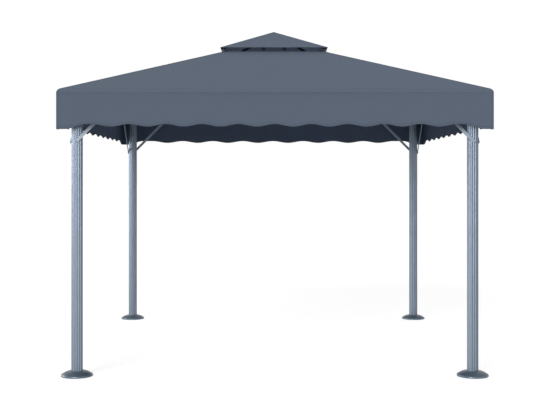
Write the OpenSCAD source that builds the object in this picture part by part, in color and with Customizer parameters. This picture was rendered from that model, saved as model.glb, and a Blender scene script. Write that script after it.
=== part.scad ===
// Square garden gazebo: four reeded posts on domed feet carry a ring of eave beams,
// and hip rafters and a crown ring hold up a fabric roof with a vented upper tier.
// The origin is on the ground at the centre, +Z is up and the front faces -Y.

/* [Canopy] */
// Width of the square canopy over its valances
canopy_w = 3000; // [2600:10:3600]
// Height at which the roof slope and the valance would meet in a sharp corner
eave_z = 1985; // [1850:5:2300]
// Pitch of the main roof in degrees
roof_pitch = 20.2; // [16:0.1:26]
// Radius of the rounded eave
eave_r = 40; // [30:1:60]
// Thickness of the fabric solids
fabric_t = 2; // [1:0.5:3]
// Height of the raised points of the scalloped hem
hem_z = 1748; // [1650:1:1780]
// Rise of each scallop from its lowest point
scallop_h = 18; // [8:1:30]
// Drop of the corner flaps below the raised points of the hem
flap_drop = 35; // [20:1:60]
// Straight length of each corner flap, from the corner
flap_w = 60; // [40:5:90]
// Length over which the hem climbs from a corner flap
flap_rise = 145; // [100:5:150]
// Scallop widths along the front and the two sides, corner flaps included
scallops = 12; // [8:2:12]
// Scallop widths along the back, corner flaps included
back_scallops = 10; // [8:2:12]

/* [Upper tier] */
// Width of the vent opening in the main roof
vent_w = 800; // [600:10:1000]
// Overhang of the upper tier past the vent opening
tier_overhang = 28; // [24:1:80]
// Open height between the main roof and the edge of the upper tier
vent_gap = 40; // [34:1:80]
// Pitch of the upper tier in degrees
tier_pitch = 23.5; // [18:0.1:30]

/* [Posts and feet] */
// Distance of the post centres from the sides of the canopy
post_inset = 121; // [116:1:140]
// Outside diameter of a post over its reeds
post_d = 80; // [70:1:86]
// Number of reeds round a post
reeds = 12; // [8:4:20]
// Radius of one reed
reed_r = 10.5; // [8:0.5:14]
// Bore of a post
post_bore = 66; // [50:1:66]
// Wall of a post between its reeds
post_wall = 2.5; // [1.5:0.5:4]
// Diameter of a foot
foot_d = 220; // [190:2:260]
// Height of the domed foot
foot_h = 37; // [28:1:50]
// Height of the rounded rim of a foot
foot_rim_h = 14; // [10:0.5:16]
// Radius of the rim's rounded top
foot_rim_r = 7; // [4:0.5:8]
// Radius of the dome's curve in section
dome_r = 105; // [90:1:220]
// Wall of the foot's dome and of the socket under the post
foot_wall = 6; // [4:0.5:8]
// Width of the flat lip on top of a foot, round the post
socket_lip = 2; // [1:0.5:5]
// Thickness of the plate that a post stands on
foot_floor = 6; // [4:0.5:10]

/* [Frame] */
// Height of an eave beam
beam_h = 40; // [32:1:50]
// Wall of an eave beam
beam_wall = 2; // [1.5:0.5:4]
// Corner radius of an eave beam
beam_corner_r = 4; // [2:0.5:6]
// Open space between an eave beam and the valance
valance_gap = 8; // [4:0.5:14]
// Thickness of the plate and the gusset of a corner bracket
bracket_t = 6; // [4:0.5:8]
// Length of the bracket's spigot inside the post
spigot_l = 60; // [40:1:100]
// Margin of the bracket plate round the post
bracket_margin = 4; // [2:0.5:8]
// Width of a corner brace seen square on
brace_w = 22; // [16:1:28]
// Thickness of a corner brace, between the post's face and the eave beam
brace_t = 5; // [4:0.5:16]
// Height of the lower end of a corner brace
brace_z = 1630; // [1500:5:1700]
// Diameter of a hip rafter
rafter_d = 28; // [22:1:32]
// Wall of a hip rafter and of a tier rafter
rafter_wall = 1.5; // [1:0.5:3]
// Width of the crown ring's bars
crown_w = 20; // [18:1:30]
// Height of the crown ring's bars
crown_h = 30; // [24:1:40]
// Width of the short studs that lift the upper tier off the crown ring
stud_w = 16; // [12:1:18]
// Diameter of a tier rafter
tier_rafter_d = 20; // [16:1:22]
// Distance of a tier rafter's lower end from the edge of the upper tier
tier_rafter_inset = 8; // [4:1:12]
// Diameter of the hub under the peak
hub_d = 60; // [48:1:80]
// Height of the hub under the peak
hub_h = 34; // [28:1:50]

/* [Fits] */
// Clearance between pieces that seat on each other
seat_gap = 0.3; // [0.2:0.1:0.5]

/* [Hidden] */
// Sides of a full circle
fine = 96;
// Steps along one scallop of the hem
scallop_steps = 12;
// Steps round the eave
eave_steps = 12;
// Room past the canopy for the blocks that trim other shapes
reach = 100;

metal = "#93A2B1";
dark_metal = "#4B5865";
fabric = "#5F6978";

half_w = canopy_w / 2;
post_u = half_w - post_inset;
post_face_u = post_u + post_d / 2;

// Main roof: u is the distance from the centre towards one side
function roof_z(u) = eave_z + tan(roof_pitch) * (half_w - u);
function roof_under_z(u, below = 0) = roof_z(u) - (fabric_t + below) / cos(roof_pitch);
hip_pitch = atan(tan(roof_pitch) / sqrt(2));
eave_u = half_w - eave_r;
shoulder_z = roof_z(eave_u) - eave_r / cos(roof_pitch);

// Eave beams: the rounded top corner seats in the curve of the canopy's eave
beam_out = half_w - fabric_t - valance_gap;
beam_in = post_face_u + brace_t + 2 * seat_gap;
beam_w = beam_out - beam_in;
beam_seat_r = eave_r - fabric_t - seat_gap - beam_corner_r;
beam_seat_u = beam_out - beam_corner_r - eave_u;
beam_top = shoulder_z + sqrt(pow(beam_seat_r, 2) - pow(beam_seat_u, 2)) + beam_corner_r;
beam_bottom = beam_top - beam_h;
post_top = beam_bottom - bracket_t;

// Crown ring and upper tier
vent_u = vent_w / 2;
crown_out = vent_u + crown_w;
crown_top = roof_under_z(crown_out, seat_gap);
stud_u = crown_out - crown_w / 2;
tier_u = vent_u + tier_overhang;
tier_edge_z = roof_z(tier_u) + vent_gap;
peak_z = tier_edge_z + tan(tier_pitch) * tier_u;
function tier_z(u) = peak_z - tan(tier_pitch) * u;
function tier_under_z(u, below = 0) = tier_z(u) - (fabric_t + below) / cos(tier_pitch);
tier_hip_pitch = atan(tan(tier_pitch) / sqrt(2));
hub_top = tier_under_z(hub_d / 2, seat_gap);

// Dome of a foot: an arc from the top of the rim to the flat seat round the post
foot_r = foot_d / 2;
rim_u = foot_r - foot_rim_r;
socket_r = post_d / 2 + seat_gap;
dome_in = socket_r + socket_lip;
dome_chord = norm([rim_u - dome_in, foot_h - foot_rim_h]);
dome_lift = sqrt(pow(dome_r, 2) - pow(dome_chord / 2, 2));
dome_side = [foot_h - foot_rim_h, rim_u - dome_in] / dome_chord;
dome_mid = [rim_u + dome_in, foot_h + foot_rim_h] / 2;
dome_centre = dome_mid - dome_lift * dome_side;

SIDES = ["front", "right", "back", "left"];
CORNERS = ["front_right", "back_right", "back_left", "front_left"];
function names(prefix, ends) = [for (end = ends) str(prefix, "_", end)];
function brace_name(side, end) = str(SIDES[side], "_brace_", SIDES[(side + end) % 4]);

// Turns a shape made for the front side to side k
module on_side(k) {
    rotate([0, 0, 90 * k])
        children();
}

// Draws a shape along the front: its X is the distance from the centre, its Y the height
module along_front(length) {
    rotate([90, 0, -90])
        linear_extrude(height = length, center = true)
            children();
}

// Keeps what lies between the two diagonals at the front, so neighbours meet in a mitre
module mitred() {
    tip = half_w + reach;
    intersection() {
        children();
        linear_extrude(height = peak_z + reach)
            polygon([[0, 0], [-tip, -tip], [tip, -tip]]);
    }
}

// Square column round the centre line that trims the ends of the rafters
module trim_block(half) {
    translate([-half, -half, 0])
        cube([2 * half, 2 * half, peak_z + reach]);
}

// Straight round bar along the front right diagonal, falling outwards from a height at the centre
module hip_bar(d, pitch, centre_z) {
    length = (half_w + reach) * sqrt(2) / cos(pitch);
    rotate([0, 0, -45])
        translate([0, 0, centre_z])
            rotate([0, 90 + pitch, 0])
                cylinder(d = d, h = length, $fn = fine);
}

// Domed foot: a cast shell with a rounded rim, a flat plate and a socket for the post
module foot() {
    color(dark_metal)
        translate([post_u, -post_u, 0])
            rotate_extrude($fn = fine)
                foot_profile();
}

module foot_profile() {
    hollow_in = socket_r + foot_wall;
    difference() {
        union() {
            intersection() {
                translate(dome_centre)
                    circle(r = dome_r, $fn = fine);
                square([rim_u, foot_h]);
            }
            rim_profile();
        }
        translate([0, foot_floor])
            square([socket_r, foot_h]);
        intersection() {
            translate(dome_centre)
                circle(r = dome_r - foot_wall, $fn = fine);
            square([foot_r - foot_wall, foot_h - foot_wall]);
            translate([hollow_in, -foot_h])
                square([foot_r, 2 * foot_h]);
        }
    }
}

module rim_profile() {
    intersection() {
        translate([rim_u, foot_rim_h - foot_rim_r])
            circle(r = foot_rim_r, $fn = fine);
        square([foot_r, foot_rim_h]);
    }
    translate([rim_u - foot_rim_r, 0])
        square([2 * foot_rim_r, foot_rim_h - foot_rim_r]);
}

// Reeded post: an extruded tube with rounded reeds side by side all round
module post() {
    color(metal)
        translate([post_u, -post_u, foot_floor])
            linear_extrude(height = post_top - foot_floor)
                post_profile();
}

module post_profile() {
    reed_centre = post_d / 2 - reed_r;
    difference() {
        union() {
            circle(d = post_bore + 2 * post_wall, $fn = fine);
            for (i = [0:reeds - 1])
                rotate(360 / reeds * i)
                    translate([reed_centre, 0])
                        circle(r = reed_r, $fn = fine);
        }
        circle(d = post_bore, $fn = fine);
    }
}

// Corner bracket: plate on the post, spigot inside it and a gusset under the hip rafter
module corner_bracket() {
    color(dark_metal) {
        translate([0, 0, post_top])
            linear_extrude(height = bracket_t) {
                translate([post_u, -post_u])
                    circle(d = post_d + 2 * bracket_margin, $fn = fine);
                translate([post_u, -beam_out])
                    square([beam_out - post_u, beam_out - post_u]);
            }
        translate([post_u, -post_u, post_top - spigot_l])
            cylinder(d = post_bore - 2 * seat_gap, h = spigot_l + bracket_t, $fn = fine);
        gusset();
    }
}

module gusset() {
    inner = post_u * sqrt(2) - post_d / 2;
    outer = (beam_in - bracket_t) * sqrt(2);
    function under_rafter_z(s) =
        roof_under_z(s / sqrt(2), rafter_d / 2 + seat_gap) - (rafter_d / 2 + seat_gap) / cos(hip_pitch);
    rotate([0, 0, -45])
        rotate([90, 0, 0])
            linear_extrude(height = bracket_t, center = true)
                polygon([
                    [inner, beam_bottom - bracket_t / 2],
                    [outer, beam_bottom - bracket_t / 2],
                    [outer, under_rafter_z(outer)],
                    [inner, under_rafter_z(inner)]
                ]);
}

// Eave beam: a rounded tube with mitred ends
module eave_beam() {
    color(metal)
        mitred()
            along_front(canopy_w)
                translate([beam_in, beam_bottom])
                    beam_profile();
}

module beam_profile() {
    r = beam_corner_r;
    difference() {
        union() {
            translate([r, 0])
                square([beam_w - 2 * r, beam_h]);
            translate([0, r])
                square([beam_w, beam_h - 2 * r]);
            for (u = [r, beam_w - r])
                for (z = [r, beam_h - r])
                    translate([u, z])
                        circle(r = r, $fn = fine);
        }
        translate([beam_wall, beam_wall])
            square([beam_w - 2 * beam_wall, beam_h - 2 * beam_wall]);
    }
}

// Corner brace at 45 degrees, between the post's outer face and the beam's inner face
module corner_brace() {
    run = beam_bottom + beam_h / 2 - brace_z;
    color(metal)
        translate([post_u, -(post_face_u + seat_gap), brace_z])
            rotate([90, 45, 0])
                linear_extrude(height = brace_t) {
                    length = run * sqrt(2);
                    translate([-length, -brace_w / 2])
                        square([length, brace_w]);
                    for (x = [0, -length])
                        translate([x, 0])
                            circle(d = brace_w, $fn = fine);
                }
}

// Hip rafter: a tube under the seam between two roof panels
module hip_rafter() {
    centre_z = roof_under_z(0, rafter_d / 2 + seat_gap);
    color(metal)
        difference() {
            intersection() {
                hip_bar(rafter_d, hip_pitch, centre_z);
                trim_block(beam_in - seat_gap);
            }
            hip_bar(rafter_d - 2 * rafter_wall, hip_pitch, centre_z);
            trim_block(crown_out + seat_gap);
        }
}

// Crown ring: the frame of the vent opening, with a stud at each corner for the upper tier
module crown_ring() {
    axis_z = tier_under_z(0, tier_rafter_d / 2 + seat_gap);
    stud_top = tier_under_z(stud_u, tier_rafter_d / 2 + seat_gap);
    color(metal)
        difference() {
            union() {
                translate([0, 0, crown_top - crown_h])
                    linear_extrude(height = crown_h)
                        difference() {
                            square(2 * crown_out, center = true);
                            square(2 * vent_u, center = true);
                        }
                for (k = [0:3])
                    on_side(k)
                        translate([stud_u - stud_w / 2, -stud_u - stud_w / 2, crown_top - crown_h / 2])
                            cube([stud_w, stud_w, stud_top - crown_top + crown_h / 2]);
            }
            for (k = [0:3])
                on_side(k)
                    hip_bar(tier_rafter_d + 2 * seat_gap, tier_hip_pitch, axis_z);
        }
}

// Hub that the four tier rafters meet under the peak
module peak_hub() {
    color(dark_metal)
        translate([0, 0, hub_top - hub_h])
            cylinder(d = hub_d, h = hub_h, $fn = fine);
}

// Tier rafter: a short tube from the hub over a stud to a corner of the upper tier
module tier_rafter() {
    axis_z = tier_under_z(0, tier_rafter_d / 2 + seat_gap);
    color(metal)
        difference() {
            intersection() {
                hip_bar(tier_rafter_d, tier_hip_pitch, axis_z);
                trim_block(tier_u - tier_rafter_inset);
            }
            hip_bar(tier_rafter_d - 2 * rafter_wall, tier_hip_pitch, axis_z);
            cylinder(d = hub_d + 2 * seat_gap, h = peak_z, $fn = fine);
        }
}

// Roof panel: one slope of the main roof with its rounded eave
module roof_panel() {
    color(fabric)
        mitred()
            along_front(canopy_w)
                roof_profile();
}

module roof_profile() {
    outer = eave_arc(eave_r);
    inner = eave_arc(eave_r - fabric_t);
    polygon(concat(
        [[vent_u, roof_z(vent_u)]],
        outer,
        [for (i = [eave_steps:-1:0]) inner[i]],
        [[vent_u, roof_under_z(vent_u)]]
    ));
}

// Points of the rounded eave, from the roof slope down to the upright valance
function eave_arc(r) = [
    for (i = [0:eave_steps])
        let (a = (90 - roof_pitch) * (1 - i / eave_steps))
        [eave_u, shoulder_z] + r * [cos(a), sin(a)]
];

// Height of the hem at distance s from one corner, with n scallop widths along the side
function hem_at(s, n) =
    let (
        pitch = canopy_w / n,
        d = min(s, canopy_w - s),
        climb = min(max((d - flap_w) / flap_rise, 0), 1)
    )
    d < pitch
        ? hem_z - flap_drop * (1 + cos(180 * climb)) / 2
        : hem_z - scallop_h * (1 - cos(360 * s / pitch)) / 2;

// Scallop widths along side k
function hem_scallops(k) = k == 2 ? back_scallops : scallops;

// Valance: the hanging strip below the eave with a scalloped hem
module valance(n) {
    step = canopy_w / n / scallop_steps;
    hem = [for (i = [0:n * scallop_steps]) [i * step - half_w, hem_at(i * step, n)]];
    color(fabric)
        mitred()
            translate([0, fabric_t - half_w, 0])
                rotate([90, 0, 0])
                    linear_extrude(height = fabric_t)
                        polygon(concat(hem, [[half_w, shoulder_z], [-half_w, shoulder_z]]));
}

// Tier panel: one slope of the small upper roof
module tier_panel() {
    color(fabric)
        mitred()
            along_front(2 * tier_u)
                polygon([
                    [0, tier_z(0)],
                    [tier_u, tier_z(tier_u)],
                    [tier_u, tier_under_z(tier_u)],
                    [0, tier_under_z(0)]
                ]);
}

for (k = [0:3]) {
    on_side(k) foot();
    on_side(k) post();
    on_side(k) corner_bracket();
    on_side(k) eave_beam();
    on_side(k) corner_brace();
    on_side(k) mirror([1, 0, 0]) corner_brace();
    on_side(k) hip_rafter();
    on_side(k) tier_rafter();
    on_side(k) roof_panel();
    on_side(k) valance(hem_scallops(k));
    on_side(k) tier_panel();
}
crown_ring();
peak_hub();
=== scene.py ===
"""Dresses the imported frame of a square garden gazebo.

The main roof with its valance and the upper tier are two sewn sheets of slate cloth. Posts, feet, braces,
beams and rafters keep their CAD shapes and get baked paint. Seams, hems, straps and bolts are added.
Lengths are in metres, +Z is up and the front faces -Y.
"""

import logging
import math
from collections.abc import Callable
from dataclasses import dataclass, field
from enum import Enum
from functools import cache

import bmesh
import bpy
from mathutils import Matrix, Vector, noise

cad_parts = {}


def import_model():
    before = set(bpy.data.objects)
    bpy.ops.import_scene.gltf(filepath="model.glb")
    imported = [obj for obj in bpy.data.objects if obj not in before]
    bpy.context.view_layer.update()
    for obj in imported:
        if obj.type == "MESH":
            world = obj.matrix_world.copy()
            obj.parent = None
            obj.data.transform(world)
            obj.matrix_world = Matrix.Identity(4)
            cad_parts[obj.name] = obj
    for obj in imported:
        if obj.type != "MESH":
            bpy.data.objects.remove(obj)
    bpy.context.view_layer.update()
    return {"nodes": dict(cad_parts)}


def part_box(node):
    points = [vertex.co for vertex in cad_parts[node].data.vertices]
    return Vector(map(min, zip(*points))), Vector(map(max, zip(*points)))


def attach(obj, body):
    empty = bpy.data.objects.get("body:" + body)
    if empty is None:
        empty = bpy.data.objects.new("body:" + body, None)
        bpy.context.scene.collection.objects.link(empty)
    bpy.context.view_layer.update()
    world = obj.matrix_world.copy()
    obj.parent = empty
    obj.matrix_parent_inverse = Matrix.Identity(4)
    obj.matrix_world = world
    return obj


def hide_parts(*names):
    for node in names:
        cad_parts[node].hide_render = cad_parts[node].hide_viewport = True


LOG = logging.getLogger("gazebo")
MM = 0.001
QUARTER_TURN = math.radians(90)
FULL_TURN = 4 * QUARTER_TURN
# Points whose heights differ by less than this are level.
LEVEL_WITHIN = 1e-6
# Edges that turn by more than this stay sharp.
CLOTH_CREASE_DEG = 20
METAL_CREASE_DEG = 30
# Thickness of the frame's own cloth panels, which the sheets stand for.
FRAME_PANEL = 2 * MM
# Blender's wave texture turns by this many radians in each unit.
WAVE_RADIANS = 20
WHITE = (1.0, 1.0, 1.0, 1.0)
BODY = "root"
CLOTH_UV = "cloth"
MATH = "ShaderNodeMath"


class Side(Enum):
    """The four sides of the gazebo, in quarter turns from the front."""

    FRONT = 0
    RIGHT = 1
    BACK = 2
    LEFT = 3

    @property
    def word(self) -> str:
        """This side in the names of the frame's nodes."""
        return self.name.lower()

    @property
    def turn(self) -> Matrix:
        """Rotation that brings a front piece to this side."""
        return Matrix.Rotation(QUARTER_TURN * self.value, 4, "Z")

    @property
    def outward(self) -> Vector:
        """Level direction that this side faces."""
        return (Vector((0, -1, 0)), Vector((1, 0, 0)), Vector((0, 1, 0)), Vector((-1, 0, 0)))[self.value]

    def split(self, spot: Vector) -> tuple[float, float]:
        """Gives how far a point lies out towards this side, and how far along it."""
        out = self.outward
        return spot.dot(out), spot.dot(Vector((-out.y, out.x, 0)))

    @classmethod
    def of(cls, spot: Vector) -> "Side":
        """Finds the side whose sector of the plan holds a point.

        Args:
            spot: The point.

        Returns:
            Its side.
        """
        if abs(spot.y) >= abs(spot.x):
            return cls.FRONT if spot.y < 0 else cls.BACK
        return cls.RIGHT if spot.x > 0 else cls.LEFT


def linear_colour(hex_code: str) -> tuple[float, float, float, float]:
    """Turns an sRGB hex colour into the linear colour that a shader takes.

    Args:
        hex_code: Colour as "#RRGGBB".

    Returns:
        Linear red, green and blue, and an alpha of 1.
    """
    channels = [int(hex_code[i:i + 2], 16) / 255 for i in (1, 3, 5)]
    linear = [c / 12.92 if c <= 0.04045 else ((c + 0.055) / 1.055) ** 2.4 for c in channels]
    return linear[0], linear[1], linear[2], 1.0


def add_node(tree: bpy.types.NodeTree, kind: str, inputs: dict | None = None,
             **settings: object) -> bpy.types.Node:
    """Adds one node, sets its options and feeds its sockets.

    Args:
        tree: Node tree that takes the node.
        kind: Node type.
        inputs: Socket name or number, with the plain value, socket or node that feeds it.
        **settings: Options of the node.

    Returns:
        The new node.
    """
    node = tree.nodes.new(kind)
    for option, value in settings.items():
        setattr(node, option, value)
    for key, value in (inputs or {}).items():
        if isinstance(value, bpy.types.Node):
            value = value.outputs[0]
        if isinstance(value, bpy.types.NodeSocket):
            tree.links.new(value, node.inputs[key])
        else:
            node.inputs[key].default_value = value
    return node


@dataclass(frozen=True)
class Finish:
    """One finish of the gazebo: a named material with its colour and gloss."""

    name: str
    colour: str
    roughness: float

    def blank(self) -> tuple[bpy.types.Material, bpy.types.NodeTree, bpy.types.Node]:
        """Makes the material with a bare Principled shader.

        Returns:
            The material, its node tree and the shader.
        """
        material = bpy.data.materials.new(self.name)
        material.use_nodes = True
        tree = material.node_tree
        tree.nodes.clear()
        shader = add_node(tree, "ShaderNodeBsdfPrincipled", {
            "Base Color": linear_colour(self.colour), "Roughness": self.roughness})
        add_node(tree, "ShaderNodeOutputMaterial", {"Surface": shader})
        return material, tree, shader

    def toned(self, tree: bpy.types.NodeTree, share: bpy.types.Node, spread: float) -> bpy.types.Node:
        """Lightens and darkens the base colour a little.

        Args:
            tree: Node tree of the material.
            share: Pattern from 0 to 1.
            spread: Change of brightness from the darkest to the lightest place.

        Returns:
            Node with the uneven colour.
        """
        value = add_node(tree, "ShaderNodeMapRange", {
            "Value": share, "To Min": 1 - spread / 2, "To Max": 1 + spread / 2})
        return add_node(tree, "ShaderNodeHueSaturation", {
            "Color": linear_colour(self.colour), "Value": value})


@dataclass(frozen=True)
class BakedPaint(Finish):
    """Baked powder paint on metal: a satin skin with a fine orange peel and a faintly uneven gloss."""

    specular: float = 0.5
    metallic: float = 0.0
    peel_mm: float = 1.6
    peel_depth_mm: float = 0.03
    peel_strength: float = 0.5
    peel_detail: float = 1.0
    mottle_mm: float = 90.0
    mottle: float = 0.08
    mottle_detail: float = 3.0
    gloss_spread: float = 0.15

    @cache
    def material(self) -> bpy.types.Material:
        """Makes the painted metal's material, once for all the pieces that wear it.

        Returns:
            The material.
        """
        material, tree, shader = self.blank()
        spot = add_node(tree, "ShaderNodeTexCoord").outputs["Object"]
        peel = add_node(tree, "ShaderNodeTexNoise", {
            "Vector": spot, "Scale": 1 / (self.peel_mm * MM), "Detail": self.peel_detail})
        bump = add_node(tree, "ShaderNodeBump", {
            "Height": peel, "Strength": self.peel_strength, "Distance": self.peel_depth_mm * MM})
        cloud = add_node(tree, "ShaderNodeTexNoise", {
            "Vector": spot, "Scale": 1 / (self.mottle_mm * MM), "Detail": self.mottle_detail})
        gloss = add_node(tree, "ShaderNodeMapRange", {
            "Value": cloud, "To Min": self.roughness * (1 - self.gloss_spread),
            "To Max": self.roughness * (1 + self.gloss_spread)})
        shader.inputs["Specular IOR Level"].default_value = self.specular
        shader.inputs["Metallic"].default_value = self.metallic
        colour = self.dressed(tree, spot, shader, self.toned(tree, cloud, self.mottle))
        tree.links.new(colour.outputs[0], shader.inputs["Base Color"])
        tree.links.new(gloss.outputs[0], shader.inputs["Roughness"])
        tree.links.new(bump.outputs[0], shader.inputs["Normal"])
        return material

    def dressed(self, tree: bpy.types.NodeTree, spot: bpy.types.NodeSocket, shader: bpy.types.Node,
                colour: bpy.types.Node) -> bpy.types.Node:
        """Gives the colour as it is: plain paint has no painted rim highlight."""
        return colour


@dataclass(frozen=True)
class TurnedRimPaint(BakedPaint):
    """Baked paint on a casting whose rim is smoother and glints, with a paler rim colour that is a painted
    highlight.
    """

    # Paler colour of the rim: a painted highlight.
    rim_colour: str = "#6A7784"
    rim_metallic: float = 0.35
    rim_mm: float = 14.0
    fade_mm: float = 3.0

    def dressed(self, tree: bpy.types.NodeTree, spot: bpy.types.NodeSocket, shader: bpy.types.Node,
                colour: bpy.types.Node) -> bpy.types.Node:
        """Changes the colour below the rim's top to the paler painted highlight, and lets the metal glint
        there.

        Args:
            tree: Node tree of the paint.
            spot: Object coordinates.
            shader: Shader of the paint.
            colour: Colour above the rim.

        Returns:
            Node with both colours.
        """
        height = add_node(tree, "ShaderNodeSeparateXYZ", {"Vector": spot}).outputs["Z"]
        share = add_node(tree, "ShaderNodeMapRange", {
            "Value": height, "From Min": (self.rim_mm - self.fade_mm) * MM, "From Max": self.rim_mm * MM})
        glint = add_node(tree, "ShaderNodeMapRange", {
            "Value": share, "To Min": self.rim_metallic, "To Max": self.metallic})
        tree.links.new(glint.outputs[0], shader.inputs["Metallic"])
        # Below the rim's top the colour turns to the paler painted highlight.
        return add_node(tree, "ShaderNodeMixRGB", {0: share, 1: linear_colour(self.rim_colour), 2: colour})


@dataclass(frozen=True)
class WovenCloth(Finish):
    """Woven polyester: a matt plain weave with slightly uneven yarns, and rows of stitches where it is sewn.

    The real yarns are about 0.4 mm apart. They are drawn twice as coarse, so that they show.
    """

    yarn_mm: float = 0.8
    yarn_depth_mm: float = 0.1
    slub_mm: float = 60.0
    slub: float = 0.06
    slub_stretch: float = 20.0
    slub_detail: float = 2.0
    weave_strength: float = 0.6
    sheen: float = 0.02
    sheen_roughness: float = 0.5
    specular: float = 0.04
    stitch_rows_mm: tuple[float, ...] = ()
    stitch_mm: float = 6.0
    stitch_width_mm: float = 1.2
    stitch_share: float = 0.72
    stitch_pull: float = 2.0
    thread: str = "#434C59"

    @cache
    def material(self) -> bpy.types.Material:
        """Makes the cloth's material, which follows the piece's own UV map in metres.

        Returns:
            The material, the same one for all the pieces of this cloth.
        """
        material, tree, shader = self.blank()
        run = add_node(tree, "ShaderNodeUVMap", uv_map=CLOTH_UV).outputs["UV"]
        yarns = FULL_TURN / WAVE_RADIANS / (2 * self.yarn_mm * MM)
        weft = add_node(tree, "ShaderNodeTexWave", {"Vector": run, "Scale": yarns}, bands_direction="X")
        warp = add_node(tree, "ShaderNodeTexWave", {"Vector": run, "Scale": yarns}, bands_direction="Y")
        height = add_node(tree, MATH, {0: weft, 1: warp}, operation="MULTIPLY")
        stretch = add_node(tree, "ShaderNodeMapping", {
            "Vector": run, "Scale": (1 / (self.slub_mm * MM), self.slub_stretch / (self.slub_mm * MM), 1.0)})
        slub = add_node(tree, "ShaderNodeTexNoise", {
            "Vector": stretch, "Scale": 1.0, "Detail": self.slub_detail})
        colour = self.toned(tree, slub, self.slub).outputs[0]
        if self.stitch_rows_mm:
            colour, height = self.sewn(tree, run, colour, height)
        bump = add_node(tree, "ShaderNodeBump", {
            "Height": height, "Strength": self.weave_strength, "Distance": self.yarn_depth_mm * MM})
        shader.inputs["Sheen Weight"].default_value = self.sheen
        shader.inputs["Sheen Roughness"].default_value = self.sheen_roughness
        shader.inputs["Specular IOR Level"].default_value = self.specular
        tree.links.new(colour, shader.inputs["Base Color"])
        tree.links.new(bump.outputs[0], shader.inputs["Normal"])
        return material

    def sewn(self, tree: bpy.types.NodeTree, run: bpy.types.NodeSocket, colour: bpy.types.NodeSocket,
             weave: bpy.types.Node) -> tuple[bpy.types.NodeSocket, bpy.types.Node]:
        """Draws rows of stitches at set distances across the piece.

        Args:
            tree: Node tree of the cloth.
            run: The cloth's UV map, along the row and across it in metres.
            colour: Colour of the bare cloth.
            weave: Height of the weave.

        Returns:
            Colour with the thread on it, and height of the weave with the rows pulled in.
        """
        parts = add_node(tree, "ShaderNodeSeparateXYZ", {"Vector": run})
        across = add_node(tree, MATH, {0: parts.outputs["Y"]}, operation="ABSOLUTE")
        half_stitch, half_width = self.stitch_mm * MM / 2, self.stitch_width_mm * MM / 2
        step = add_node(tree, MATH, {0: parts.outputs["X"], 1: half_stitch}, operation="PINGPONG")
        dash = add_node(tree, MATH, {0: step, 1: half_stitch * self.stitch_share}, operation="LESS_THAN")
        rows = [add_node(tree, MATH, {0: across, 1: place * MM, 2: half_width}, operation="COMPARE")
                for place in self.stitch_rows_mm]
        row = rows[0]
        for other in rows[1:]:
            row = add_node(tree, MATH, {0: row, 1: other}, operation="MAXIMUM")
        stitch = add_node(tree, MATH, {0: row, 1: dash}, operation="MULTIPLY")
        thread = add_node(tree, "ShaderNodeMix", {0: stitch, 6: colour, 7: linear_colour(self.thread)},
                          data_type="RGBA")
        pulled = add_node(tree, MATH, {0: row, 1: -self.stitch_pull, 2: weave}, operation="MULTIPLY_ADD")
        return thread.outputs[2], pulled


# Slate polyester as it leaves the loom: matt, blue-grey, with a faint unevenness along the yarns.
CANOPY_CLOTH = WovenCloth("slate_woven_polyester", "#5F6978", 0.85)
# The same cloth's inner face: a thin coating that fills the weave, slightly bluer and darker. The darker
# tone is partly painted shade for the roof's shaded underside.
SHADED_CANOPY_BACKING = WovenCloth("coated_polyester_back_painted_shade", "#586479", 0.75, yarn_depth_mm=0.04, slub=0.04,
                            sheen=0.0)
# Seam tape over the hips: the same cloth, doubled, with a row of stitches near each edge.
SEAM_TAPE = WovenCloth("stitched_seam_tape", "#606A79", 0.85, stitch_rows_mm=(7.5,))
# Turned hem: doubled cloth, a shade darker, with two rows of stitches.
HEM_CLOTH = WovenCloth("stitched_turned_hem", "#5D6776", 0.85, stitch_rows_mm=(4.0, 13.0))
# Post of extruded aluminium under blue-grey satin paint: a bright streak along each reed, with dark grooves.
POST_PAINT = BakedPaint("satin_painted_aluminium", "#727C88", 0.58, metallic=1.0, peel_depth_mm=0.005,
                        mottle=0.05)
# Foot of cast aluminium under dark slate paint: a satin dome with a smoother, glinting rim, whose paler
# colour is a painted highlight.
FOOT_PAINT = TurnedRimPaint("slate_painted_casting", "#4C5966", 0.3, specular=0.16)
# Bracket, hub and crown ring of pressed steel under dark grey paint: a dull sheen in the roof's shade. On
# the hub and crown ring, up in the vent, the dark grey is partly painted shade.
BRACKET_PAINT = BakedPaint("dark_steel_paint_and_painted_shade", "#3C4651", 0.5, specular=0.2)
# Straps and tier rafters of steel, near black with almost no sheen: the near black is partly painted shade,
# so that the vent stays dark.
STRAP_PAINT = BakedPaint("near_black_steel_strap_painted_shade", "#19222D", 0.6, specular=0.1)
# Beams, braces and hip rafters of steel tube under pale grey paint: satin bars, pale against the lining.
TUBE_PAINT = BakedPaint("grey_painted_steel_tube", "#9EADBC", 0.45, specular=0.2)
# Bolts and washers in the braces, painted with them: small domes, a little glossier than the tube.
BOLT_PAINT = BakedPaint("grey_painted_bolts", "#95A3B1", 0.4, specular=0.25, peel_depth_mm=0.02)


def face_outwards(sheet: bmesh.types.BMesh) -> None:
    """Turns the faces of a sheet so that they all point up, or outwards from the gazebo's centre line.

    Args:
        sheet: Sheet to turn.
    """
    bmesh.ops.recalc_face_normals(sheet, faces=sheet.faces)
    sheet.normal_update()
    middles = ((face.normal, face.calc_center_median()) for face in sheet.faces)
    if sum(normal.dot((middle.x, middle.y, 1.0)) for normal, middle in middles) < 0:
        bmesh.ops.reverse_faces(sheet, faces=sheet.faces)


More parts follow.
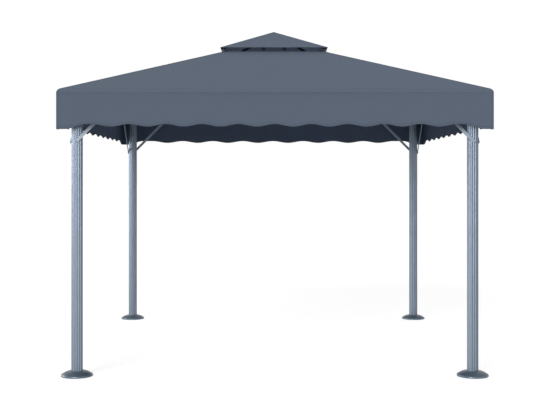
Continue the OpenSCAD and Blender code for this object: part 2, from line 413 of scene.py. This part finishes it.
def spun_sheet(profile: list[tuple[float, float]], columns: int) -> bmesh.types.BMesh:
    """Sweeps the section along a hip round the four corners into a mitred square sheet.

    Args:
        profile: Distance from the centre towards a side, and height, down the sheet.
        columns: Number of faces along each side.

    Returns:
        The flat sheet, before it is draped.
    """
    sheet = bmesh.new()
    points = [sheet.verts.new((out, -out, height)) for out, height in profile]
    lines = [sheet.edges.new(pair) for pair in zip(points, points[1:])]
    bmesh.ops.spin(sheet, geom=points + lines, cent=(0, 0, 0), axis=(0, 0, 1), angle=FULL_TURN,
                   steps=len(Side), use_merge=True)
    level = [edge for edge in sheet.edges if abs(edge.verts[0].co.z - edge.verts[1].co.z) < LEVEL_WITHIN]
    bmesh.ops.subdivide_edges(sheet, edges=level, cuts=columns - 1, use_grid_fill=True)
    face_outwards(sheet)
    return sheet


def lay_cloth(sheet: bmesh.types.BMesh, length_of: Callable[[Side, Vector], tuple[float, float]]) -> None:
    """Gives a flat sheet its UV map in metres.

    Args:
        sheet: Sheet to map.
        length_of: Gives the place of a point on the cloth, along it and across it, for its face's side.
    """
    layer = sheet.loops.layers.uv.new(CLOTH_UV)
    for face in sheet.faces:
        side = Side.of(face.calc_center_median())
        for corner in face.loops:
            corner[layer].uv = length_of(side, corner.vert.co)


def add_piece(name: str, mesh_source: bmesh.types.BMesh, finishes: list[BakedPaint | WovenCloth],
              sharp_deg: float) -> bpy.types.Object:
    """Makes a finished piece from a bmesh and lets it ride on the frame.

    Args:
        name: Name of the piece.
        mesh_source: Its mesh, in place. It is freed.
        finishes: Finishes, the first for the outside.
        sharp_deg: Edges that turn by more than this angle stay sharp.

    Returns:
        The new object.
    """
    mesh = bpy.data.meshes.new(name)
    mesh_source.to_mesh(mesh)
    mesh_source.free()
    for finish in finishes:
        mesh.materials.append(finish.material())
    mesh.polygons.foreach_set("use_smooth", [True] * len(mesh.polygons))
    mesh.set_sharp_from_angle(angle=math.radians(sharp_deg))
    piece = bpy.data.objects.new(name, mesh)
    bpy.context.scene.collection.objects.link(piece)
    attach(piece, BODY)
    LOG.info("%s: %d faces", name, len(mesh.polygons))
    return piece


def set_out(one: bmesh.types.BMesh, places: list[Matrix]) -> bmesh.types.BMesh:
    """Sets copies of one small shape at several places.

    Args:
        one: The shape. It is freed.
        places: Where each copy goes.

    Returns:
        All the copies as one mesh.
    """
    mesh = bpy.data.meshes.new("one")
    one.to_mesh(mesh)
    one.free()
    copies = bmesh.new()
    for place in places:
        before = len(copies.verts)
        copies.from_mesh(mesh)
        copies.verts.ensure_lookup_table()
        bmesh.ops.transform(copies, matrix=place, verts=copies.verts[before:])
    bpy.data.meshes.remove(mesh)
    return copies


def thicken(sheet: bmesh.types.BMesh, thickness: float, lined: bool = False) -> None:
    """Gives a sheet its thickness, inwards from its outer face.

    Args:
        sheet: Sheet to thicken.
        thickness: Thickness of the cloth.
        lined: Whether the inner face takes the piece's second material.
    """
    inside = bmesh.ops.solidify(sheet, geom=sheet.faces[:], thickness=thickness)["geom"]
    for face in inside:
        if lined and isinstance(face, bmesh.types.BMFace):
            face.material_index = 1


def hip_strip(sheet: bmesh.types.BMesh, half_width: float, lift: float) -> bmesh.types.BMesh:
    """Cuts the strips along the hips out of a copy of a draped sheet and lifts them off it.

    Args:
        sheet: Draped sheet, which stays as it is.
        half_width: Distance of the strip's edges from the hip.
        lift: Height of the strip's outer face over the sheet.

    Returns:
        The strips as one mesh, with the run along the hip and the distance from it as UV map.
    """
    strip = sheet.copy()
    across = [Vector((1, 1, 0)).normalized(), Vector((1, -1, 0)).normalized()]
    for normal in across:
        for sign in (-1, 1):
            bmesh.ops.bisect_plane(strip, geom=strip.verts[:] + strip.edges[:] + strip.faces[:],
                                   plane_co=normal * half_width * sign, plane_no=normal)
    far = [face for face in strip.faces
           if min(abs(face.calc_center_median().dot(normal)) for normal in across) > half_width]
    bmesh.ops.delete(strip, geom=far, context="FACES")
    layer = strip.loops.layers.uv[CLOTH_UV]
    for face in strip.faces:
        near, run = sorted(across, key=lambda normal: abs(face.calc_center_median().dot(normal)))
        for corner in face.loops:
            spot = corner.vert.co
            corner[layer].uv = (abs(spot.dot(run)) - spot.z, spot.dot(near))
    strip.normal_update()
    for vert in strip.verts:
        vert.co += vert.normal * lift
    return strip


@dataclass
class CanopyCut:
    """Pattern of the main canopy: where each point of the sewn sheet hangs."""

    half: float
    vent: float
    shoulder_z: float
    flap_z: float
    pitch: float = math.radians(20.2)
    eave_radius: float = 40 * MM
    seam_rise: float = 9 * MM
    seam_step: float = 1.6 * MM
    flap_drop: float = 35 * MM
    flap_width: float = 60 * MM
    flap_rise: float = 145 * MM
    scallop_drop: float = 18 * MM
    scallops: int = 12
    back_scallops: int = 10
    sag: float = 6 * MM
    ripple: float = 1.5 * MM
    ripple_size: float = 0.45
    flute: float = 1.5 * MM
    flutes: int = 8
    tuck: float = 4 * MM
    tuck_height: float = 40 * MM

    @property
    def hem_z(self) -> float:
        """Height of the raised points of the hem."""
        return self.flap_z + self.flap_drop

    @property
    def turn_z(self) -> float:
        """Height at which the slope turns into the rounded eave."""
        return self.shoulder_z + self.eave_radius * math.cos(self.pitch)

    @property
    def turn_out(self) -> float:
        """Distance from the centre at which the slope turns into the rounded eave."""
        return self.half - self.eave_radius * (1 - math.sin(self.pitch))

    @property
    def vent_z(self) -> float:
        """Height of the edge of the vent opening."""
        return self.turn_z + math.tan(self.pitch) * (self.turn_out - self.vent)

    @property
    def seam_z(self) -> float:
        """Height of the seam between roof and valance."""
        return self.shoulder_z + self.seam_rise

    @property
    def valance_out(self) -> float:
        """Distance of the valance from the centre."""
        return self.half - self.seam_step

    @property
    def slope_length(self) -> float:
        """Length of cloth from the vent to the rounded eave."""
        return (self.turn_out - self.vent) / math.cos(self.pitch)

    def profile(self, slope_rows: int, eave_rows: int, valance_rows: int) -> list[tuple[float, float]]:
        """Gives the section of the sheet from the vent down to the hem.

        Args:
            slope_rows: Rows of faces down the slope.
            eave_rows: Rows of faces round the eave.
            valance_rows: Rows of faces down the valance.

        Returns:
            Distance from the centre and height of each row's edge.
        """
        slope = [(self.vent + (self.turn_out - self.vent) * i / slope_rows,
                  self.vent_z + (self.turn_z - self.vent_z) * i / slope_rows) for i in range(slope_rows)]
        steep, flat = math.pi / 2 - self.pitch, math.asin(self.seam_rise / self.eave_radius)
        centre = self.half - self.eave_radius
        turns = [steep + (flat - steep) * i / eave_rows for i in range(eave_rows + 1)]
        eave = [(centre + self.eave_radius * math.cos(a), self.shoulder_z + self.eave_radius * math.sin(a))
                for a in turns]
        top = self.seam_z - self.seam_step
        valance = [(self.valance_out, top + (self.hem_z - top) * i / valance_rows)
                   for i in range(valance_rows + 1)]
        return slope + eave + valance

    def length_of(self, side: Side, spot: Vector) -> tuple[float, float]:
        """Gives the place of a point on the cloth.

        Args:
            side: Side of the gazebo that the point is on.
            spot: Point on the straight pattern.

        Returns:
            Length along the side, and length down from the vent.
        """
        out, along = side.split(spot)
        if spot.z > self.turn_z:
            return along, (out - self.vent) / math.cos(self.pitch)
        return along, self.slope_length + self.turn_z - spot.z

    def hem_at(self, side: Side, from_corner: float) -> float:
        """Gives the height of the scalloped hem.

        Args:
            side: Side that the hem runs along.
            from_corner: Distance from the side's first corner.

        Returns:
            Height of the hem there.
        """
        step = 2 * self.half / (self.back_scallops if side is Side.BACK else self.scallops)
        nearest = min(from_corner, 2 * self.half - from_corner)
        if nearest < step:
            climb = min(max((nearest - self.flap_width) / self.flap_rise, 0), 1)
            return self.hem_z - self.flap_drop * (1 + math.cos(math.pi * climb)) / 2
        return self.hem_z - self.scallop_drop * (1 - math.cos(2 * math.pi * from_corner / step)) / 2

    def drape(self, flat: Vector) -> Vector:
        """Gives the place at which a point of the flat sheet hangs.

        Args:
            flat: Point on the straight pattern.

        Returns:
            The same point on the hung cloth.
        """
        side = Side.of(flat)
        out, along = side.split(flat)
        loose = 1 - (along / out) ** 2
        ripple = self.ripple * noise.noise(flat / self.ripple_size)
        if flat.z >= self.turn_z:
            fall = math.sin(math.pi * (out - self.vent) / (self.half - self.vent))
            return flat - Vector((0, 0, loose * fall * (self.sag + ripple)))
        if flat.z >= self.seam_z - self.seam_step:
            return flat
        drop = (self.seam_z - flat.z) / (self.seam_z - self.hem_z)
        from_corner = (along / out + 1) * self.half
        hem = self.hem_at(side, from_corner)
        wave = math.cos(2 * math.pi * from_corner * self.flutes / (2 * self.half))
        swing = drop ** 2 * loose * (ripple - self.flute * wave)
        swing -= self.tuck * min((self.seam_z - flat.z) / self.tuck_height, 1) * (1 - drop) * loose
        return Vector((flat.x, flat.y, self.seam_z - drop * (self.seam_z - hem))) + side.outward * swing


@dataclass(kw_only=True)
class SewnSheet:
    """What both sheets of the canopy share: cloth with a lining, tape over the hips and turned hems."""

    thickness: float = 0.8 * MM
    tape_half: float = 11 * MM
    tape_lift: float = 0.6 * MM
    tape_thickness: float = 0.9 * MM
    hem_width: float = 18 * MM
    hem_lift: float = 0.5 * MM
    hem_thickness: float = 1.8 * MM
    hem_rows: int = 2

    @property
    def hem_shares(self) -> list[float]:
        """Shares of a hem's width at which its rows of faces meet."""
        return [i / self.hem_rows for i in range(self.hem_rows + 1)]

    def add_cloth(self, name: str, seams_name: str,
                  cloth: bmesh.types.BMesh) -> tuple[bpy.types.Object, bpy.types.Object]:
        """Adds the lined sheet and the tape over its hips.

        Args:
            name: Name of the sheet.
            seams_name: Name of the tape.
            cloth: The draped sheet. It is freed.

        Returns:
            The sheet and the tape.
        """
        tape = hip_strip(cloth, self.tape_half, self.tape_lift)
        thicken(cloth, self.thickness, lined=True)
        thicken(tape, self.tape_thickness)
        # The inner face takes the backing, whose darker tone is partly painted shade.
        sheet = add_piece(name, cloth, [CANOPY_CLOTH, SHADED_CANOPY_BACKING], CLOTH_CREASE_DEG)
        seams = add_piece(seams_name, tape, [SEAM_TAPE], CLOTH_CREASE_DEG)
        return sheet, seams

    def add_hem(self, name: str, strip: bmesh.types.BMesh) -> bpy.types.Object:
        """Adds one turned hem from its draped strip, which is freed."""
        thicken(strip, self.hem_thickness)
        return add_piece(name, strip, [HEM_CLOTH], CLOTH_CREASE_DEG)


@dataclass(kw_only=True)
class MainCanopy(SewnSheet):
    """Main roof and valance: one sewn sheet with taped hips and a turned hem."""

    cut: CanopyCut
    columns: int = 128
    slope_rows: int = 22
    eave_rows: int = 7
    valance_rows: int = 12

    def draped(self, profile: list[tuple[float, float]],
               length_of: Callable[[Side, Vector], tuple[float, float]]) -> bmesh.types.BMesh:
        """Sweeps a section round the gazebo, maps it and hangs it.

        Args:
            profile: Distance from the centre and height of each row's edge.
            length_of: Gives the place of a point on the cloth.

        Returns:
            The hung sheet.
        """
        sheet = spun_sheet(profile, self.columns)
        lay_cloth(sheet, length_of)
        for vert in sheet.verts:
            vert.co = self.cut.drape(vert.co)
        sheet.normal_update()
        return sheet

    def hem_length_of(self, side: Side, spot: Vector) -> tuple[float, float]:
        """Gives the place of a point on the turned hem: along its side, and up from the edge."""
        return side.split(spot)[1], spot.z - self.cut.hem_z

    def vent_length_of(self, side: Side, spot: Vector) -> tuple[float, float]:
        """Gives the place of a point on the vent's hem: along its side, and down from the edge."""
        out, along = side.split(spot)
        return along, (out - self.cut.vent) / math.cos(self.cut.pitch)

    def build(self) -> bpy.types.Object:
        """Returns:
            The main sheet.
        """
        cut = self.cut
        section = cut.profile(self.slope_rows, self.eave_rows, self.valance_rows)
        sheet, seams = self.add_cloth("main_canopy", "main_hip_seams", self.draped(section, cut.length_of))
        edge = cut.valance_out + self.hem_lift
        lower = [(edge, cut.hem_z + self.hem_width * (1 - share)) for share in self.hem_shares]
        hem = self.add_hem("valance_hem", self.draped(lower, self.hem_length_of))
        run = self.hem_width * math.cos(cut.pitch)
        rise = self.hem_width * math.sin(cut.pitch)
        upper = [(cut.vent + run * share, cut.vent_z - rise * share + self.hem_lift)
                 for share in self.hem_shares]
        vent_hem = self.add_hem("vent_hem", self.draped(upper, self.vent_length_of))
        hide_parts(*[f"{kind}_{side.word}" for kind in ("roof_panel", "valance") for side in Side])
        return sheet

    def flat_area(self) -> float:
        """Works out how much cloth is cut.

        Returns:
            Area of the four panels with their valances.
        """
        cut = self.cut
        slope = (cut.vent + cut.turn_out) * cut.slope_length
        return 4 * (slope + 2 * cut.half * (cut.turn_z - cut.hem_z))


@dataclass(kw_only=True)
class UpperTier(SewnSheet):
    """Small upper roof over the vent: one pyramid sheet with taped hips and a turned edge."""

    half: float
    edge_z: float
    peak_z: float
    columns: int = 40
    rows: int = 18
    sag: float = 4 * MM
    tape_half: float = 10 * MM
    tip: float = 2 * MM
    tip_reach: float = 3 * MM

    @property
    def pitch(self) -> float:
        """Slope of the tier."""
        return math.atan2(self.peak_z - self.edge_z, self.half)

    def length_of(self, side: Side, spot: Vector) -> tuple[float, float]:
        """Gives the place of a point on the cloth: along its side, and up from the edge."""
        out, along = side.split(spot)
        return along, (self.half - out) / math.cos(self.pitch)

    def draped(self, outs: list[float], lift: float) -> bmesh.types.BMesh:
        """Sweeps a strip of the tier, maps it and lets it sag between the hips.

        Args:
            outs: Distances of the rows from the centre.
            lift: Height over the tier's own outer face.

        Returns:
            The draped strip.
        """
        rise = math.tan(self.pitch)
        sheet = spun_sheet([(out, self.peak_z - rise * out + lift) for out in outs], self.columns)
        lay_cloth(sheet, self.length_of)
        for vert in sheet.verts:
            out, along = Side.of(vert.co).split(vert.co)
            vert.co.z -= self.sag * (1 - (along / out) ** 2) * math.sin(math.pi * out / self.half)
        sheet.normal_update()
        return sheet

    def build(self) -> bpy.types.Object:
        """Returns:
            The tier's sheet.
        """
        outs = [self.tip + (self.half - self.tip) * i / self.rows for i in range(self.rows + 1)]
        cloth = self.draped(outs, 0.0)
        ring = [vert for vert in cloth.verts if max(abs(vert.co.x), abs(vert.co.y)) < self.tip_reach]
        bmesh.ops.pointmerge(cloth, verts=ring, merge_co=(0, 0, self.peak_z))
        cloth.normal_update()
        sheet, seams = self.add_cloth("tier_canopy", "tier_hip_seams", cloth)
        lower = [self.half - self.hem_width * (1 - share) for share in self.hem_shares]
        hem = self.add_hem("tier_hem", self.draped(lower, self.hem_lift))
        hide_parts(*[f"tier_panel_{side.word}" for side in Side])
        return sheet


@dataclass
class BraceBolts:
    """Coach bolts with domed heads and washers that fix the corner braces to the posts and beams."""

    brace_width: float = 22 * MM
    washer_radius: float = 9 * MM
    washer_height: float = 1.2 * MM
    head_radius: float = 7 * MM
    head_height: float = 2.6 * MM
    chamfer: float = 0.4 * MM
    chamfer_rows: int = 2
    weld: float = 0.004 * MM
    dome_rows: int = 6
    turns: int = 32

    def bolt(self) -> bmesh.types.BMesh:
        """Makes one bolt head on its washer.

        Returns:
            The bolt, on the ground and pointing up.
        """
        bolt = bmesh.new()
        washer = bmesh.ops.create_cone(bolt, cap_ends=True, segments=self.turns, radius1=self.washer_radius,
                                       radius2=self.washer_radius, depth=self.washer_height)["verts"]
        bmesh.ops.translate(bolt, verts=washer, vec=(0, 0, self.washer_height / 2))
        rim = [edge for edge in bolt.edges if all(v.co.z > self.washer_height / 2 for v in edge.verts)]
        bmesh.ops.bevel(bolt, geom=rim, offset=self.chamfer, affect="EDGES", segments=self.chamfer_rows,
                        profile=0.5, material=-1)
        angles = [QUARTER_TURN * i / self.dome_rows for i in range(self.dome_rows + 1)]
        dome = [(self.head_radius * math.cos(a), self.washer_height + self.head_height * math.sin(a))
                for a in angles]
        arc = [bolt.verts.new((radius, 0, height)) for radius, height in dome]
        lines = [bolt.edges.new(pair) for pair in zip(arc, arc[1:])]
        bmesh.ops.spin(bolt, geom=arc + lines, cent=(0, 0, 0), axis=(0, 0, 1), angle=FULL_TURN,
                       steps=self.turns, use_merge=True)
        bmesh.ops.remove_doubles(bolt, verts=bolt.verts, dist=self.weld)
        return bolt

    def build(self) -> bpy.types.Object:
        """Sets a bolt on both ends of every brace.

        Returns:
            The bolts as one piece.
        """
        low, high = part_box("front_brace_right")
        end = self.brace_width / 2
        facing_out, facing_in = Matrix.Rotation(QUARTER_TURN, 4, "X"), Matrix.Rotation(-QUARTER_TURN, 4, "X")
        on_post = Matrix.Translation((high.x - end, low.y, low.z + end)) @ facing_out
        on_beam = Matrix.Translation((low.x + end, high.y, high.z - end)) @ facing_in
        flips = [Matrix.Diagonal((sign, 1, 1, 1)) for sign in (1, -1)]
        bolts = set_out(self.bolt(), [side.turn @ flip @ place @ flip
                                      for side in Side for place in (on_post, on_beam) for flip in flips])
        bmesh.ops.recalc_face_normals(bolts, faces=bolts.faces)
        return add_piece("brace_bolts", bolts, [BOLT_PAINT], METAL_CREASE_DEG)


@dataclass
class TierStraps:
    """Flat steel straps, two on each side of the crown ring, that keep the upper tier off the main roof."""

    ring_inside: float
    ring_top: float
    tier: UpperTier
    width: float = 28 * MM
    thickness: float = 3 * MM
    apart: float = 168 * MM
    lap: float = 24 * MM
    tab: float = 22 * MM
    bend: float = 5 * MM
    bend_rows: int = 4
    clearance: float = 0.5 * MM

    def strap(self) -> bmesh.types.BMesh:
        """Makes one strap, which runs up the ring's inner face and is bent in under the cloth.

        Returns:
            The strap, at the middle of the front.
        """
        strap, pitch = bmesh.new(), self.tier.pitch
        out = self.ring_inside - self.clearance
        top = self.tier.peak_z - math.tan(pitch) * out - self.tier.sag / 2 - self.tier.thickness
        path = [(out, self.ring_top - self.lap), (out, top),
                (out - self.tab * math.cos(pitch), top + self.tab * math.sin(pitch))]
        points = [strap.verts.new((-self.width / 2, -place, height)) for place, height in path]
        lines = [strap.edges.new(pair) for pair in zip(points, points[1:])]
        wide = bmesh.ops.extrude_edge_only(strap, edges=lines)["geom"]
        bmesh.ops.translate(strap, verts=[v for v in wide if isinstance(v, bmesh.types.BMVert)],
                            vec=(self.width, 0, 0))
        fold = [edge for edge in strap.edges if len(edge.link_faces) == 2]
        bmesh.ops.bevel(strap, geom=fold, offset=self.bend, affect="EDGES", segments=self.bend_rows,
                        profile=0.5, material=-1)
        face_outwards(strap)
        thicken(strap, self.thickness)
        return strap

    def build(self) -> bpy.types.Object:
        """Sets two straps on each side of the ring.

        Returns:
            The straps as one piece.
        """
        straps = set_out(self.strap(), [side.turn @ Matrix.Translation((along, 0, 0))
                                        for side in Side for along in (-self.apart / 2, self.apart / 2)])
        return add_piece("tier_straps", straps, [STRAP_PAINT], METAL_CREASE_DEG)


@dataclass
class MetalFrame:
    """Posts, feet, brackets, beams, braces and rafters, which keep their CAD shapes."""

    finishes: dict[BakedPaint, tuple[str, ...]] = field(default_factory=lambda: {
        FOOT_PAINT: ("foot_",),
        POST_PAINT: ("post_",),
        # The hub, crown ring, straps and tier rafters take dark paints that are partly painted shade.
        BRACKET_PAINT: ("corner_bracket_", "peak_hub", "crown_ring"),
        STRAP_PAINT: ("tier_rafter_",),
        TUBE_PAINT: ("eave_beam_", "hip_rafter_", *(f"{side.word}_brace_" for side in Side))})

    def paint(self, nodes: dict[str, bpy.types.Object]) -> None:
        """Gives every metal piece of the frame its paint.

        Args:
            nodes: The frame's objects by name.
        """
        for finish, starts in self.finishes.items():
            for name in sorted(name for name in nodes if name.startswith(starts)):
                materials = nodes[name].data.materials
                materials.clear()
                materials.append(finish.material())
                LOG.info("%s: %s", name, finish.name)


@dataclass(frozen=True)
class StudioLamp:
    """One distant soft lamp that lights the gazebo and leaves the glints to the softboxes."""

    name: str
    strength: float
    spread_deg: float
    shines_from: tuple[float, float, float]

    def build(self) -> None:
        """Adds the lamp to the scene."""
        data = bpy.data.lights.new(self.name, "SUN")
        data.energy = self.strength
        data.angle = math.radians(self.spread_deg)
        lamp = bpy.data.objects.new(self.name, data)
        lamp.rotation_euler = Vector(self.shines_from).to_track_quat("Z", "Y").to_euler()
        lamp.visible_glossy = False
        bpy.context.scene.collection.objects.link(lamp)


@dataclass(frozen=True)
class GlossBox:
    """One upright softbox that draws a streak along each reed and leaves matt surfaces to the lamps."""

    name: str
    power: float
    width: float
    height: float
    foot: tuple[float, float, float]

    def build(self) -> None:
        """Adds the softbox, with its lower edge at the foot and turned to the gazebo's centre line."""
        data = bpy.data.lights.new(self.name, "AREA")
        data.energy = self.power
        data.shape = "RECTANGLE"
        data.size, data.size_y = self.width, self.height
        lamp = bpy.data.objects.new(self.name, data)
        lamp.location = Vector(self.foot) + Vector((0, 0, self.height / 2))
        lamp.rotation_euler = Vector((*self.foot[:2], 0)).to_track_quat("Z", "Y").to_euler()
        lamp.visible_camera = False
        lamp.visible_diffuse = False
        bpy.context.scene.collection.objects.link(lamp)


@dataclass
class Studio:
    """Camera, soft light and pale floor."""

    lens: float = 63.03
    sensor: float = 36.0
    eye: tuple[float, float, float] = (-0.0447, -8.092, 1.371)
    shift: tuple[float, float] = (0.0119, -0.0491)
    far_clip: float = 1000.0
    lamps: tuple[StudioLamp | GlossBox, ...] = (
        StudioLamp("front_key", 2.2, 25.0, (-0.38, -0.84, 0.44)),
        StudioLamp("left_fill", 0.5, 40.0, (-0.70, 0.45, 0.50)),
        StudioLamp("back_fill", 1.1, 40.0, (0.58, 0.70, 0.42)),
        GlossBox("left_softbox", 370.0, 3.0, 2.6, (-6.0, 1.0, 1.4)),
        GlossBox("front_softbox", 660.0, 2.0, 2.6, (-2.0, -8.0, 1.4)))
    ambient: float = 0.30
    floor_half: float = 200.0
    floor_drop: float = 0.5 * MM
    floor_glow: float = 0.81
    floor_tone: float = 0.3
    floor_bounce: float = 0.5

    def camera(self) -> None:
        """Sets the camera level, at eye height in front of the gazebo."""
        data = bpy.data.cameras.new("photo_camera")
        data.sensor_fit = "HORIZONTAL"
        data.sensor_width = self.sensor
        data.lens = self.lens
        data.shift_x, data.shift_y = self.shift
        data.clip_end = self.far_clip
        camera = bpy.data.objects.new("photo_camera", data)
        camera.location = self.eye
        camera.rotation_euler = (QUARTER_TURN, 0, 0)
        bpy.context.scene.collection.objects.link(camera)
        bpy.context.scene.camera = camera

    def seen(self, tree: bpy.types.NodeTree) -> bpy.types.Node:
        """Tells the rays that show the background from those that light the gazebo.

        Args:
            tree: Node tree of the world or the floor.

        Returns:
            Node that gives 1 where the eye sees the background, straight or in a reflection.
        """
        path = add_node(tree, "ShaderNodeLightPath")
        mirrored = add_node(tree, MATH, {0: path.outputs["Is Camera Ray"], 1: path.outputs["Is Glossy Ray"]},
                            operation="MAXIMUM")
        return add_node(tree, MATH, {0: mirrored, 1: path.outputs["Is Transmission Ray"]},
                        operation="MAXIMUM")

    def light(self) -> None:
        """Adds the lamps and an even, dimmer sky that is white to the eye."""
        for lamp in self.lamps:
            lamp.build()
        world = bpy.data.worlds.new("studio_world")
        bpy.context.scene.world = world
        world.use_nodes = True
        tree = world.node_tree
        tree.nodes.clear()
        dim = add_node(tree, "ShaderNodeBackground", {"Color": WHITE, "Strength": self.ambient})
        white = add_node(tree, "ShaderNodeBackground", {"Color": WHITE, "Strength": 1.0})
        sky = add_node(tree, "ShaderNodeMixShader", {0: self.seen(tree), 1: dim, 2: white})
        add_node(tree, "ShaderNodeOutputWorld", {"Surface": sky})

    def floor(self) -> None:
        """Lays the pale floor, which shows a soft shadow and is clear from below."""
        material = bpy.data.materials.new("pale_floor")
        material.use_nodes = True
        tree = material.node_tree
        tree.nodes.clear()
        bounce = add_node(tree, "ShaderNodeBsdfDiffuse", {"Color": (self.floor_bounce,) * 3 + (1,)})
        shown = add_node(tree, "ShaderNodeBsdfDiffuse", {"Color": (self.floor_tone,) * 3 + (1,)})
        glow = add_node(tree, "ShaderNodeEmission", {"Strength": self.floor_glow})
        lit = add_node(tree, "ShaderNodeAddShader", {0: shown, 1: glow})
        top = add_node(tree, "ShaderNodeMixShader", {0: self.seen(tree), 1: bounce, 2: lit})
        clear = add_node(tree, "ShaderNodeBsdfTransparent")
        behind = add_node(tree, "ShaderNodeNewGeometry").outputs["Backfacing"]
        add_node(tree, "ShaderNodeOutputMaterial", {
            "Surface": add_node(tree, "ShaderNodeMixShader", {0: behind, 1: top, 2: clear})})
        plane = bmesh.new()
        bmesh.ops.create_grid(plane, x_segments=1, y_segments=1, size=self.floor_half)
        bmesh.ops.translate(plane, verts=plane.verts, vec=(0, 0, -self.floor_drop))
        mesh = bpy.data.meshes.new("floor")
        plane.to_mesh(mesh)
        plane.free()
        mesh.materials.append(material)
        floor = bpy.data.objects.new("floor", mesh)
        bpy.context.scene.collection.objects.link(floor)

    def build(self) -> None:
        """Sets up the camera, the light and the floor."""
        bpy.context.scene.view_settings.view_transform = "Standard"
        self.camera()
        self.light()
        self.floor()


def main() -> None:
    """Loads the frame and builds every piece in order."""
    logging.basicConfig(level=logging.INFO, format="%(message)s")
    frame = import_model()
    Studio().build()
    MetalFrame().paint(frame["nodes"])
    valance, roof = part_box("valance_front"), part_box("roof_panel_front")
    vent = -roof[1].y
    cut = CanopyCut(half=valance[1].x, vent=vent, shoulder_z=valance[1].z, flap_z=valance[0].z)
    MainCanopy(cut=cut).build()
    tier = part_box("tier_panel_front")
    upper = UpperTier(half=-tier[0].y, edge_z=tier[0].z + FRAME_PANEL, peak_z=tier[1].z)
    upper.build()
    TierStraps(ring_inside=vent, ring_top=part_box("hip_rafter_front_left")[1].z, tier=upper).build()
    BraceBolts().build()


if __name__ == "__main__":
    main()
